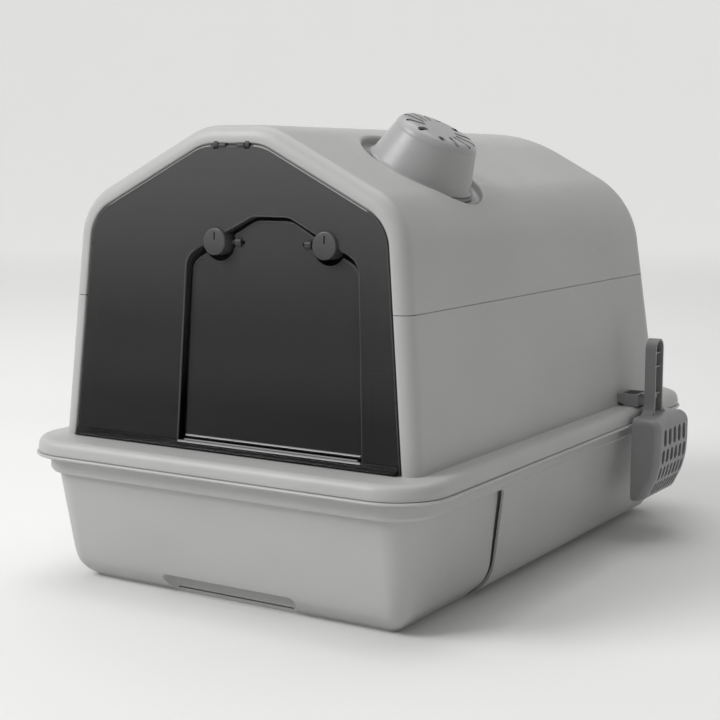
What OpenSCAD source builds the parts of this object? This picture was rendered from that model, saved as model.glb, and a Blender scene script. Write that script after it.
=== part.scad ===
// Hooded cat litter box: a base frame with a pull-out litter drawer, a two-part lift-off hood,
// a smoked flip-up front panel with a swinging cat flap, a twist-cap deodoriser and a hung scoop.
// Origin: centre of the footprint on the ground. +X is the scoop side, -Y the entrance, +Z up.

/* [Base] */
// Overall width at the base's rim
rim_w = 420; // [400:5:440]
// Overall length at the base's rim
rim_l = 594; // [570:2:620]
// Plan radius of the rim's corners
corner_r = 50; // [40:2:60]
// Height of the base's rim above the ground
rim_z = 118; // [114:1:122]
// Distance from the front of the rim to the drawer's side seam
drawer_wrap = 171; // [150:1:190]

/* [Hood] */
// Height of the roof above the ground
roof_z = 406; // [400:1:412]
// Height of the seam between the hood's halves
seam_z = 257.6; // [240:0.2:280]
// Lean of the front face from the vertical, in degrees
front_lean = 2.5; // [1.5:0.5:3.5]
// Wall thickness of the mouldings
wall = 2.5; // [2:0.1:3]

/* [Door] */
// Sideways place of the cat flap's centre line
door_x = 40; // [30:1:44]
// Height of the flap's hinge axis
flap_axis_z = 309.5; // [306:0.5:312]

/* [Deodoriser] */
// Sideways place of the deodoriser on the sloping roof panel
deo_x = 104; // [98:1:110]
// Lengthwise place of the deodoriser
deo_y = -109; // [-130:1:-90]
// Outer radius of the cap at its foot
cap_r = 46; // [40:0.5:47]

/* [Scoop] */
// Lengthwise place of the scoop's centre line
scoop_y = 158; // [150:0.5:180]
// Outer width of the scoop's bowl
scoop_w = 84; // [70:1:86]

/* [Hidden] */
$fn = 64;
hw = rim_w / 2;
hl = rim_l / 2;
ledge_z = rim_z + 13.5;          // top of the hood's flange
lip = 0.5;                       // overlap that makes joined shapes one solid
fit = 0.06;                      // radial play of a pin in its bore
gap = 0.3;                       // clearance between pieces that move past each other

pad_h = 1.6;
foot_x = 120;
foot_y = 208;

// Hood envelope
hood_hw = 185.6;                 // half width at the flange
hood_front = -258;               // front face at the flange
hood_back = 276;                 // back wall at the flange
hood_h = roof_z - ledge_z;
shoulder = [166.2, roof_z - 66.1];
crown_x = [34, 50];              // half width of the roof's flat top, front and back
shoulder_r = [52, 84];
crown_r = [63, 160];
back_lean = 8;
roof_fall = 0.0077;              // how much lower the roof is towards the back
edge_r = 12;                     // rounding of the front edge
back_r = 38;                     // rounding of the back edge

// Front panel
panel_gap = 1.5;
frame_w = 15;                    // width of the hood's frame around the panel
panel_in = frame_w + panel_gap;
panel_t = 3;
panel_set = 0.3;                 // how far the panel sits behind the frame's face
rebate = 3.9;
front_wall = 6.5;
ledge_in = 28;                   // inset of the front opening
hinge_back = 1.5;                // panel hinge axis behind the face
hinge_z = roof_z - panel_in - 0.2;
hinge_pin_r = 1;
knuckle_r = 2.2;

// Cat flap
door_arch = [93, ledge_z + 7, 85.7, 297.2, 18.2, 331, 16, 21];
door_depth = 14;
flap_gap = 1.8;
flap_t = 2;
flap_set = 6.5;                  // flap behind the panel's face
block_r = 11.5;
block_x = 55;                    // hinge blocks either side of the door's centre
flap_pin_r = 2;

// Deodoriser, in its own frame: Z along the roof panel's normal, 0 on the roof
deo_crown = hood_arch(deo_y)[4];
roof_tilt = atan2(roof_z - shoulder.y, shoulder.x - deo_crown);
deo_z = fallen(roof_z - tan(roof_tilt) * (deo_x - deo_crown), deo_y);
well_r = 57.5;
well_floor = -9;
port_r = 40;
cap_top = 36;
slot_step = 27.5;

// Scoop and its holder
scoop_x = hw + 2.4;              // open side of the bowl, just clear of the rim
scoop_d = 29;                    // depth of the bowl
scoop_tip_z = 41.5;
scoop_top_z = 125;
handle_top_z = 200;
handle_w = 21;
handle_t = 11;
tongue_l = 17;

// ---------------------------------------------------------------- outline helpers

// Unit normal on the inner side of an anticlockwise edge from a to b
function inward(a, b) = let (u = (b - a) / norm(b - a)) [-u.y, u.x];

// Arc of n steps round corner b, radius r, for an outline inset by d
function corner(a, b, c, r, d, n) =
  let (na = inward(a, b), nb = inward(b, c), k = (na + nb) / (1 + na * nb), rr = max(r, d + 0.5),
       centre = b + k * rr, a0 = atan2(-na.y, -na.x), a1 = atan2(-nb.y, -nb.x))
  [for (i = [0:n]) let (t = a0 + (a1 - a0) * i / n) centre + (rr - d) * [cos(t), sin(t)]];

// Arch outline, inset by d: [foot half width, foot z, shoulder x, z, crown x, z, two radii]
function arch(s, d = 0, n = 8) =
  let (p0 = [s[0], s[1]], p1 = [s[2], s[3]], p2 = [s[4], s[5]],
       foot = s[0] - d * norm(p1 - p0) / (p1.y - p0.y),
       right = concat([[foot, s[1]]], corner(p0, p1, p2, s[6], d, n),
                      corner(p1, p2, [-p2.x, p2.y], s[7], d, n)),
       m = len(right))
  concat(right, [for (i = [m - 1:-1:0]) [-right[i].x, right[i].y]]);

// Rounded rectangle seen from above, n steps a corner
function plan(x, front, back, r, n = 9) =
  [for (q = [0:3], i = [0:n]) let (t = 90 * (q + i / n), sx = (q == 0 || q == 3) ? 1 : -1)
    [sx * (x - r) + r * cos(t), (q < 2 ? back - r : front + r) + r * sin(t)]];

// Solid through rings of equal length
module loft(rings) {
  m = len(rings[0]);
  n = len(rings);
  polyhedron(
    points = [for (r = rings) each r],
    faces = concat([[for (i = [0:m - 1]) i]], [[for (i = [m - 1:-1:0]) (n - 1) * m + i]],
      [for (k = [0:n - 2], i = [0:m - 1]) let (j = (i + 1) % m)
        [k * m + j, k * m + i, (k + 1) * m + i, (k + 1) * m + j]]),
    convexity = 6);
}

// Solid of plan outlines: each ring is [z, inset from the rim, extra inset at the front]
module tub(rings) {
  loft([for (g = rings) let (front = -hl + g[1] + (len(g) > 2 ? g[2] : 0))
    [for (p = plan(hw - g[1], front, hl - g[1], max(corner_r - g[1], 8))) [p.x, p.y, g[0]]]]);
}

// Share of the way from the hood's front to its back
function along(y) = min(1, max(0, (y - hood_front) / (hood_back - hood_front)));

// The hood's arch at y, which grows rounder towards the back
function hood_arch(y) = let (w = along(y))
  [hood_hw, ledge_z, shoulder.x, shoulder.y, (1 - w) * crown_x[0] + w * crown_x[1], roof_z,
   (1 - w) * shoulder_r[0] + w * shoulder_r[1], (1 - w) * crown_r[0] + w * crown_r[1]];

// Lean of the hood's faces, and a height after the roof's fall, at a place y along it
function lean(y) = (1 - along(y)) * tan(front_lean) - along(y) * tan(back_lean);
function fallen(z, y) = ledge_z + (z - ledge_z) * (1 - roof_fall * (y - hood_front) / hood_h);

// Arch section of the hood at y, inset by d
function section(s, y, d, dx = 0) =
  [for (p = arch(s, d)) let (z = fallen(p.y, y)) [dx + p.x, y + lean(y) * (z - ledge_z), z]];

// Slab between two depths behind the front face, in the shape of an arch
module slab(s, d, from, to, dx = 0) {
  loft([section(s, hood_front + to, d, dx), section(s, hood_front + from, d, dx)]);
}

// The hood's form: t is how far it is drawn in for its inner surface
module hood_form(t) {
  front = t > 0 ? [[hood_front + front_wall, t]]
    : [for (a = [0:30:90]) [hood_front + edge_r * (1 - cos(a)), edge_r * (1 - sin(a))]];
  middle = [for (y = [-120, 60]) [y, t]];
  turn = back_r - t;
  back = [for (a = [0:15:90]) [hood_back - back_r + turn * sin(a), t + turn * (1 - cos(a))]];
  all = concat(front, middle, back);
  loft([for (i = [len(all) - 1:-1:0]) section(hood_arch(all[i][0]), all[i][0], all[i][1])]);
}

// Places children on the front face at height z, with local Y along its inward normal
module on_face(x, z, depth) {
  translate([x, hood_front + tan(front_lean) * (z - ledge_z), z]) rotate([-front_lean, 0, 0])
    translate([0, depth, 0]) children();
}

// Places children on the sloping roof panel, with Z along its outward normal
module on_roof() {
  translate([deo_x, deo_y, deo_z]) rotate([0, roof_tilt, 0]) children();
}

module cyl_x(r, from, to) {
  translate([from, 0, 0]) rotate([0, 90, 0]) cylinder(h = to - from, r = r);
}

module cyl_y(r, from, to) {
  translate([0, to, 0]) rotate([90, 0, 0]) cylinder(h = to - from, r = r);
}

// ---------------------------------------------------------------- base

seam_y = -hl + drawer_wrap;
seam_run = 16;                   // how much further back the seam is at the floor
bay_top = rim_z - 18;
floor_z = 3.6;

// Side view of the drawer's front, whose seam leans back towards the floor: what is cut from the
// base, less a gap all round; bottom is its lower edge
module bay(gap, bottom) {
  front = -hl - 20;
  low = [seam_y + seam_run - gap - 9 * (floor_z - bottom), bottom];
  high = [seam_y - gap, bay_top - gap];
  outline = concat([[front, low.y]], corner([front, low.y], low, high, 26, 0, 8),
                   corner(low, high, [front, high.y], 8, 0, 5), [[front, high.y]]);
  translate([hw + 10, 0, 0]) rotate([0, -90, 0]) linear_extrude(2 * hw + 20)
    polygon([for (p = outline) [p.y, p.x]]);
}

module base_frame() {
  band = 12.5;
  color([0.66, 0.665, 0.66]) {
    difference() {
      union() {
        tub([[0, 49.6], [3, 49.1], [floor_z + 0.1, 49], [floor_z + 0.4, 44.5], [8, 36.5], [16, 32.5],
             [28, 29.5], [bay_top, band + 2],
             [bay_top + 3, band], [rim_z - 3.5, band], [rim_z - 3.49, 1], [rim_z - 1, 0], [rim_z, 0.6]]);
      }
      tub([[floor_z - 0.1, 56], [8, 47], [14, 37], [28, 29.5 + wall], [bay_top, band + 2 + wall],
           [rim_z + 1, band + 2 + wall]]);
      bay(0, floor_z);
      finger_pull();
      underside();
    }
  }
}

// Hollow under the floor, leaving a foot ring and a cross of ribs on the ground
module underside() {
  rib = 5;
  for (sx = [-1, 1], sy = [-1, 1])
    translate([sx * (rib + hw - 64) / 2, sy * (rib + hl - 64) / 2, pad_h / 2])
      cube([hw - 64 - rib, hl - 64 - rib, pad_h], center = true);
}

// Soft pads set in the underside, level with the foot ring
module non_slip_feet() {
  color([0.2, 0.2, 0.2]) for (sx = [-1, 1], sy = [-1, 1])
    translate([sx * foot_x, sy * foot_y, 0]) cylinder(h = pad_h, r = 9);
}

// ---------------------------------------------------------------- drawer

pull_hw = 71;
pull_z = 18;

// Finger recess under the drawer's front edge
module finger_pull() {
  r = 3;
  translate([0, 49 - hl, 0]) rotate([90, 0, 0]) linear_extrude(60) difference() {
    translate([-pull_hw, -1]) square([2 * pull_hw, pull_z + 1]);
    for (s = [-1, 1]) difference() {
      translate([s > 0 ? pull_hw - r : -pull_hw, pull_z - r]) square(r + 0.01);
      translate([s * (pull_hw - r), pull_z - r]) circle(r);
    }
  }
}

module litter_drawer() {
  top = bay_top - 1.2;
  color([0.67, 0.675, 0.67]) difference() {
    union() {
      difference() {
        intersection() {
          tub([[2.5, 47.9], [4.5, 45.3], [8, 41.8], [13, 37], [20, 33.5], [28, 31.8], [bay_top + 1, 20.2]]);
          bay(1.2, 3);
        }
        tub([[0, 48.2], [floor_z + 1.2, 48.2]]);
      }
      tub([[7, 56, 2], [16, 43, 2], [28, 36, 1], [top - 0.6, 21.7, 1]]);
      for (s = [-1, 1]) translate([s * 110 - 4, 70 - hl, floor_z + gap])
        cube([8, 2 * hl - 150, 5]);
    }
    tub([[9.6, 60, 6], [20, 46, 6], [27, 40, 0], [32, 37.8, 0], [top + 1, 24, 0]]);
    finger_pull();
  }
}

// ---------------------------------------------------------------- hood

// Hood shell with the front opening and the panel's rebate
module hood_shell() {
  front_arch = hood_arch(hood_front);
  difference() {
    hood_form(0);
    translate([0, 0, -lip]) hood_form(wall);
    slab([for (i = [0:7]) i == 1 ? ledge_z - 4 : front_arch[i]], ledge_in, -5, front_wall + 3);
    slab(front_arch, frame_w, -5, rebate);
  }
}

// Round well for the deodoriser, sunk in the right-hand roof panel
module well_body() {
  intersection() {
    hood_form(0);
    on_roof() translate([0, 0, well_floor - wall]) cylinder(h = 40, r = well_r + wall);
  }
}

module well_hollow() {
  on_roof() {
    translate([0, 0, well_floor]) cylinder(h = 60, r = well_r);
    translate([0, 0, -40]) cylinder(h = 60, r = port_r);
  }
}

module half_space(z_from, z_to) {
  translate([-400, -400, z_from]) cube([800, 800, z_to - z_from]);
}

module lower_hood() {
  color([0.66, 0.665, 0.66]) difference() {
    union() {
      intersection() {
        hood_shell();
        half_space(0, seam_z);
      }
      difference() {
        tub([[rim_z + gap, 2], [rim_z + 3, 2.1], [ledge_z - 5, 2.8], [ledge_z - 2.5, 4],
             [ledge_z - 0.8, 6.2], [ledge_z, 9]]);
        tub([[rim_z - 1, 4.8], [ledge_z - wall, 6.4]]);
        hood_plug();
      }
    }
    holder_screw_holes();
  }
}

// What the flange is cut back by: the hood's inside, down through the flange
module hood_plug() {
  translate([0, 0, rim_z - 5]) linear_extrude(ledge_z - rim_z + 5 + lip)
    for (g = [[hood_back - wall - 1, back_r - wall], [0, 20]])
      polygon(plan(hood_hw - wall - 1.5, hood_front + front_wall + 2, g[0], g[1]));
}

// Lugs on the frame's lower edge that carry the front panel's hinge pins
module panel_lugs() {
  for (s = [-1, 1]) on_face(0, hinge_z, 0) difference() {
    hull() {
      translate([0, hinge_back, 0]) cyl_x(knuckle_r, s * 16 - 2.3, s * 16 + 2.3);
      translate([s * 16 - 2.3, hinge_back - 1, 1]) cube([4.6, 3, 3]);
    }
    translate([0, hinge_back, 0]) cyl_x(hinge_pin_r + fit, s * 16 - 4, s * 16 + 4);
  }
}

module upper_hood() {
  color([0.70, 0.705, 0.70]) {
    difference() {
      union() {
        intersection() {
          hood_shell();
          half_space(seam_z, roof_z + 40);
        }
        well_body();
      }
      well_hollow();
      for (s = [-1, 1]) on_face(0, hinge_z, hinge_back)
        cyl_x(knuckle_r + gap, s > 0 ? 5.4 : -13.5, s > 0 ? 13.5 : -5.4);
    }
    panel_lugs();
  }
}

// ---------------------------------------------------------------- front panel and flap

module front_panel() {
  foot = ledge_z + 0.6;
  panel_arch = [for (i = [0:7]) i == 1 ? foot : hood_arch(hood_front)[i]];
  color([0.13, 0.135, 0.14, 0.6]) difference() {
    union() {
      loft([for (g = [[3.3, 0], [1.5, 0], [panel_set, 1.2]])
        section(panel_arch, hood_front + g[0], panel_in + g[1])]);
      slab([for (i = [0:7]) i == 1 ? door_arch[1] - 2 : door_arch[i]], -2, panel_set + 1, door_depth,
           door_x);
      panel_lip(foot);
      for (s = [-1, 1]) on_face(0, hinge_z, hinge_back)
        cyl_x(knuckle_r, s > 0 ? 5.7 : -13.2, s > 0 ? 13.2 : -5.7);
    }
    slab(door_arch, 0, -8, door_depth + 5, door_x);
    for (s = [-1, 1]) {
      on_face(door_x + s * block_x, flap_axis_z, 0) cyl_y(block_r, -8, door_depth + 5);
      on_face(0, hinge_z, hinge_back) {
        cyl_x(hinge_pin_r, s > 0 ? 4 : -14, s > 0 ? 14 : -4);
        translate([s * 16 - 2.7, -5, -3]) cube([5.4, 10, 8]);
      }
    }
  }
}

// Stepped lip along the panel's foot, which flares out as a finger grip
module panel_lip(foot) {
  half = hood_hw - panel_in - 1.5;
  translate([-half, hood_front, foot]) rotate([90, 0, 90]) linear_extrude(2 * half)
    polygon([[2, 0], [-4, 0], [-4, 1.6], [-2.2, 2.2], [-2.2, 4], [-0.9, 4.5], [-0.9, 6.3], [0.8, 7.2],
             [2, 7.2]]);
}

module panel_hinge_pins() {
  color([0.75, 0.76, 0.77]) for (s = [-1, 1]) on_face(0, hinge_z, hinge_back)
    cyl_x(hinge_pin_r, s > 0 ? 6.2 : -18, s > 0 ? 18 : -6.2);
}

module flap_hinge_blocks() {
  color([0.16, 0.165, 0.17, 0.7]) for (s = [-1, 1])
    on_face(door_x + s * block_x, flap_axis_z, 0) difference() {
      cyl_y(block_r, -2.5, door_depth - 1);
      translate([0, flap_set + flap_t / 2, 0]) cyl_x(flap_pin_r + fit, s > 0 ? -14 : -1, s > 0 ? 1 : 14);
    }
}

// The flap hangs 4.5 lower than the doorway at its sloping shoulders, to swing clear of them
module cat_flap() {
  drop = 4.5;
  notch_r = 16.2;
  lowered = [0, flap_gap, 0, -drop, 0, -drop, 0, 0];
  flap_arch = door_arch + lowered;
  color([0.13, 0.135, 0.14, 0.6]) difference() {
    union() {
      difference() {
        slab(flap_arch, flap_gap, flap_set, flap_set + flap_t + 1.4, door_x);
        slab([for (i = [0:7]) flap_arch[i] + (i == 1 ? 5 : 0)], flap_gap + 2.2, flap_set + flap_t,
             flap_set + 20, door_x);
        for (s = [-1, 1]) on_face(door_x + s * block_x, flap_axis_z, 0) cyl_y(notch_r, -8, 30);
      }
      for (s = [-1, 1]) on_face(door_x + s * 35, flap_axis_z, flap_set + flap_t / 2) cyl_x(4, -3.4, 3.4);
    }
    for (s = [-1, 1]) on_face(door_x + s * 35, flap_axis_z, flap_set + flap_t / 2) cyl_x(flap_pin_r, -5, 5);
  }
}

module flap_pins() {
  color([0.75, 0.76, 0.77]) for (s = [-1, 1]) on_face(door_x, flap_axis_z, flap_set + flap_t / 2)
    cyl_x(flap_pin_r, s > 0 ? 31.6 : -54, s > 0 ? 54 : -31.6);
}

// ---------------------------------------------------------------- deodoriser

// Radial slots of width w from r1 to r2, in two fans: steps are counted from the middle of a fan
module slot_fans(steps, r1, r2, w, h) {
  for (side = [0, 180], i = steps) rotate(side + i * slot_step) {
    translate([r1, -w / 2, 0]) cube([r2 - r1, w, h]);
    for (r = [r1, r2]) translate([r, 0, 0]) cylinder(h = h, r = w / 2, $fn = 24);
  }
}

module deodoriser_base() {
  color([0.64, 0.645, 0.64]) on_roof() rotate_extrude() polygon([
    [port_r - 3, well_floor + 7], [port_r - 3, well_floor - 15], [port_r - 0.4, well_floor - 15],
    [port_r - 0.4, well_floor + 1 + gap], [50, well_floor + 1 + gap], [50, well_floor + 3.2],
    [port_r - 1, well_floor + 3.2], [port_r - 1, well_floor + 7]]);
}

module seal_ring() {
  color([0.2, 0.2, 0.2]) on_roof() translate([0, 0, well_floor]) difference() {
    cylinder(h = 1, r = 49);
    translate([0, 0, -1]) cylinder(h = 3, r = port_r);
  }
}

module filter_grille() {
  color([0.64, 0.645, 0.64]) on_roof() translate([0, 0, well_floor - 15]) difference() {
    cylinder(h = 2, r = port_r - 3);
    translate([0, 0, -1]) {
      slot_fans([-2:2], 12, 31, 3, 4);
      cylinder(h = 4, r = 4);
    }
  }
}

module carbon_filter() {
  color([0.09, 0.09, 0.09]) on_roof() translate([0, 0, well_floor - 13]) cylinder(h = 14, r = port_r - 3.5);
}

module deodoriser_cap() {
  foot = well_floor + 3.5;
  t = 2.2;
  color([0.66, 0.665, 0.66]) on_roof() difference() {
    rotate_extrude() difference() {
      union() {
        polygon([[0, foot], [cap_r + 2.5, foot], [cap_r + 2.5, foot + 2], [cap_r, foot + 3.5],
                 [37.4, cap_top - 8.4], [0, cap_top - 8.4]]);
        translate([0, cap_top - 9]) square([29, 9]);
        translate([29, cap_top - 8.5]) circle(8.5);
      }
      polygon([[0, foot - 1], [cap_r - t, foot - 1], [cap_r - t, foot + 3.5], [37.4 - t, cap_top - 8.4],
               [29, cap_top - t], [0, cap_top - t]]);
      translate([-20, foot - 10]) square([20, 90]);
    }
    translate([0, 0, cap_top - 6]) {
      slot_fans([0:2], 17.5, 31, 3, 12);
      slot_fans([-1], 21, 31, 3.2, 12);
      slot_fans([3.2], 25, 30, 5, 12);
      for (a = [-54, 126]) rotate(a) translate([29, 0, 0]) cylinder(h = 12, r = 3);
    }
  }
}

// ---------------------------------------------------------------- scoop and holder

holder_y = scoop_y - 13;
holder_len = 30;
wall_x = hood_hw - (143 - ledge_z) * 0.093;   // hood wall where the holder is screwed on

module holder_screw_holes() {
  for (y = [holder_y + 7, holder_y + holder_len - 7])
    translate([0, y, ledge_z + 6.5]) cyl_x(1.6, wall_x - 12, wall_x + 2);
}

module scoop_holder() {
  out = scoop_x - 6;
  color([0.42, 0.425, 0.42]) difference() {
    union() {
      difference() {
        for (inset = [0, 2]) translate([0, holder_y + holder_len - inset, ledge_z + 0.3]) rotate([90, 0, 0])
          linear_extrude(holder_len - 2 * inset) polygon([
            [wall_x + 0.8, 4], [wall_x + 9, 0], [out - 2 + inset, 0], [out - 2 + inset, 12],
            [wall_x + 0.1, 12]]);
        translate([wall_x + 3.5, holder_y + 3, ledge_z + 3]) cube([out - wall_x - 6.5, holder_len - 6, 12]);
      }
      translate([out - 3, scoop_y - 4, ledge_z + 9]) cube([tongue_l, 8, 3.2]);
    }
    for (y = [holder_y + 7, holder_y + holder_len - 7])
      translate([0, y, ledge_z + 6.5]) cyl_x(1.6, wall_x - 4, wall_x + 8);
    translate([out - 20, scoop_y - 10, ledge_z - 10]) cube([60, 20, 10.3]);
  }
}

module holder_screws() {
  color([0.7, 0.71, 0.72]) for (y = [holder_y + 7, holder_y + holder_len - 7])
    translate([0, y, ledge_z + 6.5]) {
      cyl_x(1.6, wall_x - 4.2, wall_x + 3.4);
      cyl_x(3.2, wall_x - 6.2, wall_x - 4.2);
    }
}

// Side view of the bowl, open side at x = 0, drawn in by t
function bowl_side(t) = [
  [-0.01, scoop_tip_z + 1.2 * t], [6, scoop_tip_z + 1.1 * t], [14.5 - 0.6 * t, scoop_tip_z + 4 + 0.8 * t],
  [24 - t, 65], [scoop_d - 1 - t, 81], [scoop_d - t, 97], [scoop_d - t, scoop_top_z - 10],
  [scoop_d - 3 - 0.8 * t, scoop_top_z - 3.5 - 0.7 * t], [scoop_d - 9, scoop_top_z - t],
  [-0.01, scoop_top_z - t]];

module scoop_bowl_form(t, w) {
  hull() for (s = [-1, 1]) {
    translate([scoop_x, scoop_y + s * (w / 2 - 6) - (s > 0 ? 0.5 : -0.5) - 0.5, 0])
      rotate([90, 0, 0]) translate([0, 0, -1]) linear_extrude(1) polygon(bowl_side(t));
    translate([scoop_x, scoop_y + s * w / 2 - (s > 0 ? 1 : 0), 0])
      rotate([90, 0, 0]) translate([0, 0, -1]) linear_extrude(1)
        polygon([for (p = bowl_side(t)) [min(p.x, scoop_d - 6 - t), min(p.y, scoop_top_z - 5 - t)]]);
  }
}

module scoop() {
  bowl_t = 2;
  color([0.5, 0.505, 0.5]) difference() {
    union() {
      difference() {
        scoop_bowl_form(0, scoop_w);
        translate([-0.1, 0, 0]) scoop_bowl_form(bowl_t, scoop_w - 2 * bowl_t);
      }
      translate([scoop_x, scoop_y - handle_w / 2, scoop_top_z - 4])
        cube([handle_t, handle_w, handle_top_z - scoop_top_z + 4 - handle_w / 2]);
      translate([scoop_x, scoop_y, scoop_top_z - 1]) rotate([90, 0, 90]) linear_extrude(handle_t)
        polygon([[-20, 0], [20, 0], [13, 2.5], [handle_w / 2, 8], [-handle_w / 2, 8], [-13, 2.5]]);
      translate([0, scoop_y, handle_top_z - handle_w / 2]) cyl_x(handle_w / 2, scoop_x, scoop_x + handle_t);
    }
    difference() {
      union() {
        translate([scoop_x + 2, scoop_y - handle_w / 2 + 2, scoop_top_z + 2])
          cube([handle_t, handle_w - 4, handle_top_z - scoop_top_z - 2 - handle_w / 2]);
        translate([0, scoop_y, handle_top_z - handle_w / 2])
          cyl_x(handle_w / 2 - 2, scoop_x + 2, scoop_x + handle_t + 1);
      }
      for (z = [handle_top_z - 15, handle_top_z - 28.5, handle_top_z - 55.5])
        translate([scoop_x, scoop_y - handle_w / 2, z]) cube([handle_t - 2, handle_w, 1.4]);
    }
    translate([scoop_x - 1, scoop_y - 4 - gap, ledge_z + 9 - gap]) cube([5, 8 + 2 * gap, 3.2 + 2 * gap]);
    bowl_slots();
  }
}

// Sieve slots: two rows in the bowl's flat bottom and two finer rows in the slope down to its lip
module bowl_slots() {
  slope = atan2(13.5, 81 - scoop_tip_z - 4);
  for (row = [[5, 12.5, 5, 98, 15], [6, 11.4, 4.4, 81.5, 12]])
    slot_row(row[0], row[1], row[2])
      translate([scoop_x + scoop_d - 8, 0, row[3]]) cube([20, row[2], row[4]]);
  translate([scoop_x + 14.5, 0, scoop_tip_z + 4]) rotate([0, slope, 0])
    for (row = [[7, 9.4, 3.8, 20, 13], [8, 8, 3.2, 4, 13]])
      slot_row(row[0], row[1], row[2]) translate([-6, 0, row[3]]) cube([12, row[2], row[4]]);
}

// A row of count slots of the given width, centred on the scoop
module slot_row(count, pitch, width) {
  for (i = [0:count - 1]) translate([0, scoop_y + (i - (count - 1) / 2) * pitch - width / 2, 0]) children();
}

// ---------------------------------------------------------------- assembly

base_frame();
non_slip_feet();
litter_drawer();
lower_hood();
upper_hood();
front_panel();
panel_hinge_pins();
flap_hinge_blocks();
cat_flap();
flap_pins();
deodoriser_base();
seal_ring();
filter_grille();
carbon_filter();
deodoriser_cap();
scoop_holder();
holder_screws();
scoop();
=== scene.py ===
"""Looks for the hooded cat litter box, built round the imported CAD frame."""
import math
from contextlib import contextmanager

import bmesh
import bpy
import numpy as np
from mathutils import Matrix, Vector
from mathutils.bvhtree import BVHTree


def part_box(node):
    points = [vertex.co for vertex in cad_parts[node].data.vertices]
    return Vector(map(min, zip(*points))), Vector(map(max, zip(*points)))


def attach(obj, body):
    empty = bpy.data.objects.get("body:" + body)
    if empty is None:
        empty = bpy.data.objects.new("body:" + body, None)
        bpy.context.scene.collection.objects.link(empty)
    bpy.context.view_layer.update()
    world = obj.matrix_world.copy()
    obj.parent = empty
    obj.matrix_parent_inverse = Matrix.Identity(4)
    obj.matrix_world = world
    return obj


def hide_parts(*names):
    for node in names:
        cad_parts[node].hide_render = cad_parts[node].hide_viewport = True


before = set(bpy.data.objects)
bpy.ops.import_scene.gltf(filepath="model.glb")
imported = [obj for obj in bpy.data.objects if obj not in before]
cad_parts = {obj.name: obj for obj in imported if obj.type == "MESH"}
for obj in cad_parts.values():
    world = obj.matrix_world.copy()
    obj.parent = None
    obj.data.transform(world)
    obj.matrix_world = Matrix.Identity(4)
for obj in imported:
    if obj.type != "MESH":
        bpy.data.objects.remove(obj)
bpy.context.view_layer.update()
MM = 0.001

# ------------------------------------------------------------------ driving dimensions, in mm
# base: half width, half length, height of its rim, corners seen from above
base_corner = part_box("base_frame")[1] / MM
HW, HL, RIM_Z = base_corner.x, base_corner.y, base_corner.z
CORNER_R = 50
FLOOR_Z, BAY_TOP = 3.6, RIM_Z - 18
FOOT_RECESS = 64
# drawer: seam's top end, how far the seam leans back to its foot, finger recess
SEAM_Y, SEAM_RUN = -HL + 171, 16
PULL_HW, PULL_Z, PULL_Y = 71, 18, 49 - HL
DRAWER_GAP = 1.2
# hood: ledge it rises from, roof, seam between its shells, walls, leans, front and back, rounded edges
LEDGE_Z = RIM_Z + 13.5
ROOF_Z, ROOF_FALL = 406, 0.0077
SEAM_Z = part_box("upper_hood")[0].z / MM
WALL = 2.5
FRONT_LEAN, BACK_LEAN = math.tan(math.radians(2.5)), math.tan(math.radians(8))
HOOD_HW, HOOD_FRONT, HOOD_BACK = 185.6, -258, 276
SHOULDER = (166.2, ROOF_Z - 66.1)
EDGE_R, BACK_R = 12, 38
FRAME_W, REBATE, FRONT_WALL, LEDGE_IN = 15, 3.9, 6.5, 28
# front panel: inset from the hood's outline, set back from its face, foot, hinge height and depth
PANEL_IN, PANEL_SET, PANEL_FOOT = FRAME_W + 1.5, 0.3, LEDGE_Z + 0.6
HINGE_Z, HINGE_DEPTH, LUG_X = 389.3, 1.5, 16
# doorway arch: foot x, foot z, shoulder x, z, crown x, z, shoulder radius, crown radius
DOOR_X, DOOR_DEPTH = 40, 14
DOOR_ARCH = (93, LEDGE_Z + 7, 85.7, 297.2, 18.2, 331, 16, 21)
SILL_Z = DOOR_ARCH[1]
# flap: height and depth of its axis, discs at the doorway's shoulders, barrels on the flap
FLAP_Z, FLAP_AXIS, BLOCK_X, BLOCK_R, BARREL_X = 309.5, 7.5, 55, 11.5, 35
# deodoriser: place on the roof, well, port and cap, measured along its own axis
DEO = (104, -109)
WELL_R, WELL_FLOOR, WELL_LIP, PORT_R = 57.5, -9, 3, 40
CAP_R, CAP_TOP, CAP_TOP_R, CAP_WALL = 46, 36, 37.6, 2.2
# scoop: back plane, middle, width, depth, heights of tip, bowl and handle
SCOOP_X, SCOOP_Y, SCOOP_W, SCOOP_D = HW + 2.4, 158, 84, 29
SCOOP_TIP, SCOOP_TOP, HANDLE_TOP = 41.5, 125, 200
HANDLE_W, HANDLE_T = 21, 11
QUARTER = math.pi / 2


# ------------------------------------------------------------------ outlines
def corner(a, b, c, r, d, n):
    """Arc round corner b of an anticlockwise outline, radius r, inset by d."""
    a, b, c = (np.array(p, float) for p in (a, b, c))
    na, nb = ((lambda u: np.array([-u[1], u[0]]) / np.hypot(*u))(q) for q in (b - a, c - b))
    r = max(r, d + 0.5)
    centre = b + (na + nb) / (1 + na @ nb) * r
    t0, t1 = math.atan2(-na[1], -na[0]), math.atan2(-nb[1], -nb[0])
    if t1 < t0 - math.pi:
        t1 += 2 * math.pi
    if t1 > t0 + math.pi:
        t1 -= 2 * math.pi
    return [centre + (r - d) * np.array([math.cos(t), math.sin(t)]) for t in np.linspace(t0, t1, n + 1)]


def between(p, q, n):
    return [p + (q - p) * k / n for k in range(1, n)]


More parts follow.
